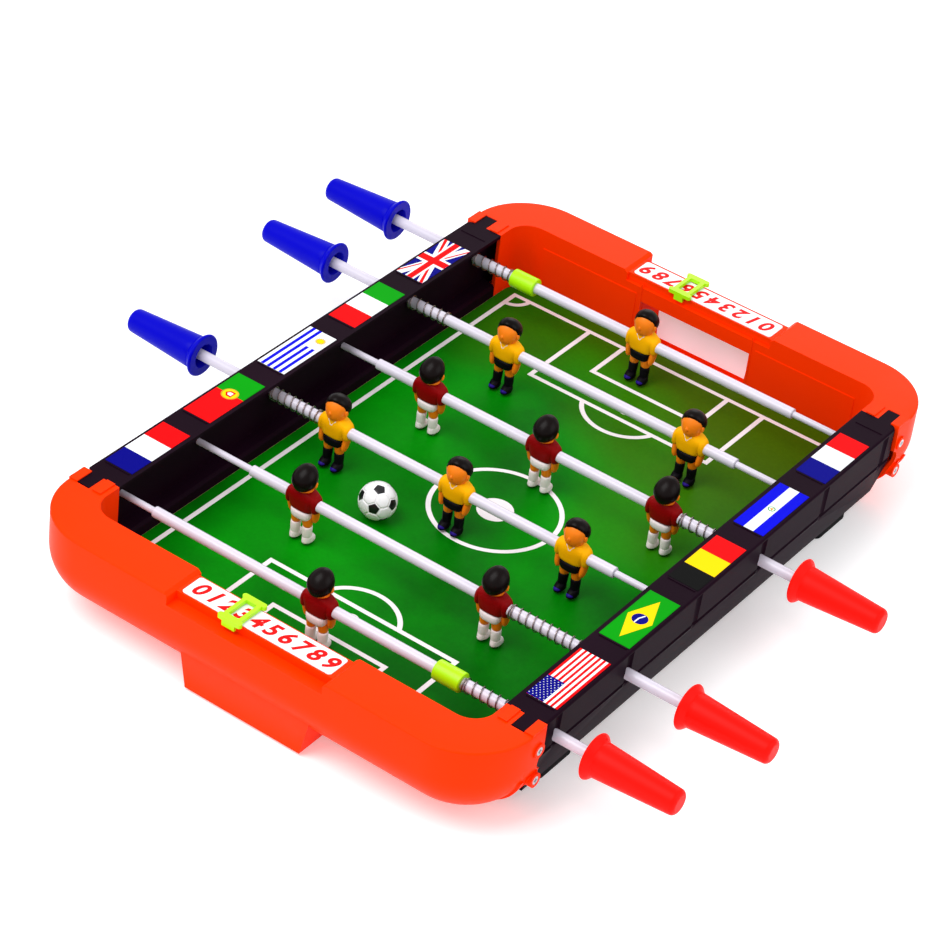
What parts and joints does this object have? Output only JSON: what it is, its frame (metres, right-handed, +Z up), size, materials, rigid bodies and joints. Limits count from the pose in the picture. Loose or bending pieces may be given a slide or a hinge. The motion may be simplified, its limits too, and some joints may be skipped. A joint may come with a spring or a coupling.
{
  "type": "foosball table",
  "caption": "Table-top foosball game with telescoping sprung rods, moulded players, rounded end caps, goal trays and sliding score markers.",
  "frame": {"origin": "centre of the footprint, on the surface the feet stand on", "axes": "+X along the pitch from the near goal to the far goal, +Y along the rods towards the blue handles, +Z up"},
  "size_m": [0.488, 0.5278, 0.0706],
  "materials": {
    "orange_body": "glossy moulded",
    "black_rail": "satin black moulded",
    "board": "hardboard underside",
    "pitch_print": "printed turf sheet",
    "white_panel": "white sheet",
    "score_print": "white strip with red digits",
    "flag_print": "printed stickers",
    "foot_black": "matte black",
    "screw_steel": "zinc plated",
    "spring_steel": "bright wire",
    "tube_white": "white enamel",
    "core_white": "white enamel",
    "handle_red": "glossy moulded",
    "handle_blue": "glossy moulded",
    "lime": "glossy moulded",
    "player_red": "painted moulded figure",
    "player_yellow": "painted moulded figure",
    "ball_white": "glossy moulded"
  },
  "bodies": {
    "table": {"end_cap_near": "orange_body", "end_cap_far": "orange_body", "side_rail_right": "black_rail", "side_rail_left": "black_rail", "pitch_board": "board", "pitch_sheet": "pitch_print", "goal_net_near": "white_panel", "goal_net_far": "white_panel", "score_strip_near": "score_print", "score_strip_far": "score_print", "flag_stickers_right": "flag_print", "flag_stickers_left": "flag_print", "feet": "foot_black", "cap_screws": "screw_steel", "board_screws": "screw_steel"},
    "core_1": {"rod_1_core": "core_white", "rod_1_spring": "spring_steel"},
    "rod_1": {"rod_1_tube": "tube_white", "rod_1_handle": "handle_red", "rod_1_collar": "lime", "rod_1_player_1": "player_red"},
    "core_2": {"rod_2_core": "core_white", "rod_2_spring": "spring_steel"},
    "rod_2": {"rod_2_tube": "tube_white", "rod_2_handle": "handle_red", "rod_2_player_1": "player_red", "rod_2_player_2": "player_red"},
    "core_3": {"rod_3_core": "core_white", "rod_3_spring": "spring_steel"},
    "rod_3": {"rod_3_tube": "tube_white", "rod_3_handle": "handle_blue", "rod_3_player_1": "player_yellow", "rod_3_player_2": "player_yellow", "rod_3_player_3": "player_yellow"},
    "core_4": {"rod_4_core": "core_white", "rod_4_spring": "spring_steel"},
    "rod_4": {"rod_4_tube": "tube_white", "rod_4_handle": "handle_red", "rod_4_player_1": "player_red", "rod_4_player_2": "player_red", "rod_4_player_3": "player_red"},
    "core_5": {"rod_5_core": "core_white", "rod_5_spring": "spring_steel"},
    "rod_5": {"rod_5_tube": "tube_white", "rod_5_handle": "handle_blue", "rod_5_player_1": "player_yellow", "rod_5_player_2": "player_yellow"},
    "core_6": {"rod_6_core": "core_white", "rod_6_spring": "spring_steel"},
    "rod_6": {"rod_6_tube": "tube_white", "rod_6_handle": "handle_blue", "rod_6_collar": "lime", "rod_6_player_1": "player_yellow"},
    "marker_near": {"score_marker_near": "lime"},
    "marker_far": {"score_marker_far": "lime"},
    "ball": {"ball": "ball_white"}
  },
  "joints": [
    {"name": "rod_1_spin", "type": "hinge", "parent": "table", "child": "core_1", "pos_m": [-0.175, 0, 0.047], "axis": [0, 1, 0], "continuous": true},
    {"name": "rod_1_slide", "type": "slide", "parent": "core_1", "child": "rod_1", "axis": [0, -1, 0], "range_m": [-0.0225, 0.029], "deforming": ["rod_1_spring"]},
    {"name": "rod_2_spin", "type": "hinge", "parent": "table", "child": "core_2", "pos_m": [-0.105, 0, 0.047], "axis": [0, 1, 0], "continuous": true},
    {"name": "rod_2_slide", "type": "slide", "parent": "core_2", "child": "rod_2", "axis": [0, -1, 0], "range_m": [-0.0389, 0.041], "deforming": ["rod_2_spring"]},
    {"name": "rod_3_spin", "type": "hinge", "parent": "table", "child": "core_3", "pos_m": [-0.035, 0, 0.047], "axis": [0, 1, 0], "continuous": true},
    {"name": "rod_3_slide", "type": "slide", "parent": "core_3", "child": "rod_3", "axis": [0, 1, 0], "range_m": [-0.0375, 0.023], "deforming": ["rod_3_spring"]},
    {"name": "rod_4_spin", "type": "hinge", "parent": "table", "child": "core_4", "pos_m": [0.035, 0, 0.047], "axis": [0, 1, 0], "continuous": true},
    {"name": "rod_4_slide", "type": "slide", "parent": "core_4", "child": "rod_4", "axis": [0, -1, 0], "range_m": [-0.0255, 0.026], "deforming": ["rod_4_spring"]},
    {"name": "rod_5_spin", "type": "hinge", "parent": "table", "child": "core_5", "pos_m": [0.105, 0, 0.047], "axis": [0, 1, 0], "continuous": true},
    {"name": "rod_5_slide", "type": "slide", "parent": "core_5", "child": "rod_5", "axis": [0, 1, 0], "range_m": [-0.0435, 0.05], "deforming": ["rod_5_spring"]},
    {"name": "rod_6_spin", "type": "hinge", "parent": "table", "child": "core_6", "pos_m": [0.175, 0, 0.047], "axis": [0, 1, 0], "continuous": true},
    {"name": "rod_6_slide", "type": "slide", "parent": "core_6", "child": "rod_6", "axis": [0, 1, 0], "range_m": [-0.0449, 0.018], "deforming": ["rod_6_spring"]},
    {"name": "marker_near_slide", "type": "slide", "parent": "table", "child": "marker_near", "axis": [0, 1, 0], "range_m": [-0.0612, 0.0306]},
    {"name": "marker_far_slide", "type": "slide", "parent": "table", "child": "marker_far", "axis": [0, 1, 0], "range_m": [-0.0612, 0.0306]},
    {"name": "ball_lift", "type": "slide", "parent": "table", "child": "ball", "axis": [0, 0, 1], "range_m": [0, 0.06]}
  ]
}
